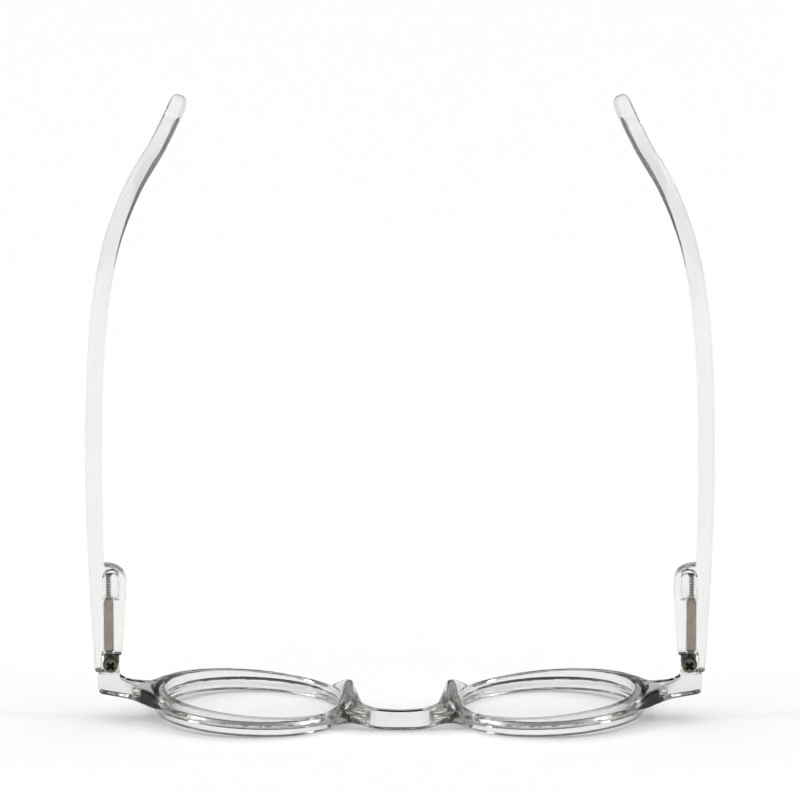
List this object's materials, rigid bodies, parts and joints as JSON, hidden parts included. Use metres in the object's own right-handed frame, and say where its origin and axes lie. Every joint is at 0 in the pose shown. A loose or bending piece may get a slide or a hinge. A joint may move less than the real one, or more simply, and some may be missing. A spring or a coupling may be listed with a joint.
{
  "type": "eyeglasses",
  "caption": "Round clear plastic eyeglasses with a moulded bridge and nose pads, thin curved lenses and folding temples on spring hinges.",
  "frame": {"origin": "bottom centre of the bounding box: on the surface the rims' fronts stand on, midway between the lenses", "axes": "+X to the wearer's left, +Y to the worn bottom of the lenses, +Z from the front of the rims back to the ears"},
  "size_m": [0.1452, 0.0468, 0.1439],
  "materials": {
    "clear_plastic": "clear, polished",
    "lens_plastic": "clear, polished",
    "hinge_steel": "dark satin",
    "unit_metal": "warm satin",
    "spring_steel": "bright"
  },
  "bodies": {
    "front": {"front_frame": "clear_plastic", "left_lens": "lens_plastic", "right_lens": "lens_plastic", "left_hinge_screw": "hinge_steel", "right_hinge_screw": "hinge_steel"},
    "left_plunger": {"left_hinge_plunger": "hinge_steel", "left_spring_collar": "spring_steel", "left_coil_spring": "spring_steel"},
    "left_arm": {"left_temple": "clear_plastic", "left_spring_box": "unit_metal"},
    "right_plunger": {"right_hinge_plunger": "hinge_steel", "right_spring_collar": "spring_steel", "right_coil_spring": "spring_steel"},
    "right_arm": {"right_temple": "clear_plastic", "right_spring_box": "unit_metal"}
  },
  "joints": [
    {"name": "left_temple_fold", "type": "hinge", "parent": "front", "child": "left_plunger", "pos_m": [0.06715, -0.0041, 0.0132], "axis": [0, -1, 0], "range_deg": [-8, 85]},
    {"name": "left_spring_travel", "type": "slide", "parent": "left_plunger", "child": "left_arm", "axis": [0, 0, 1], "range_m": [0, 0.0012], "stiffness_N_per_m": 1200, "springref_m": -0.002, "deforming": ["left_coil_spring"]},
    {"name": "right_temple_fold", "type": "hinge", "parent": "front", "child": "right_plunger", "pos_m": [-0.06715, -0.0041, 0.0132], "axis": [0, 1, 0], "range_deg": [-8, 62]},
    {"name": "right_spring_travel", "type": "slide", "parent": "right_plunger", "child": "right_arm", "axis": [0, 0, 1], "range_m": [0, 0.0012], "stiffness_N_per_m": 1200, "springref_m": -0.002, "deforming": ["right_coil_spring"]}
  ]
}
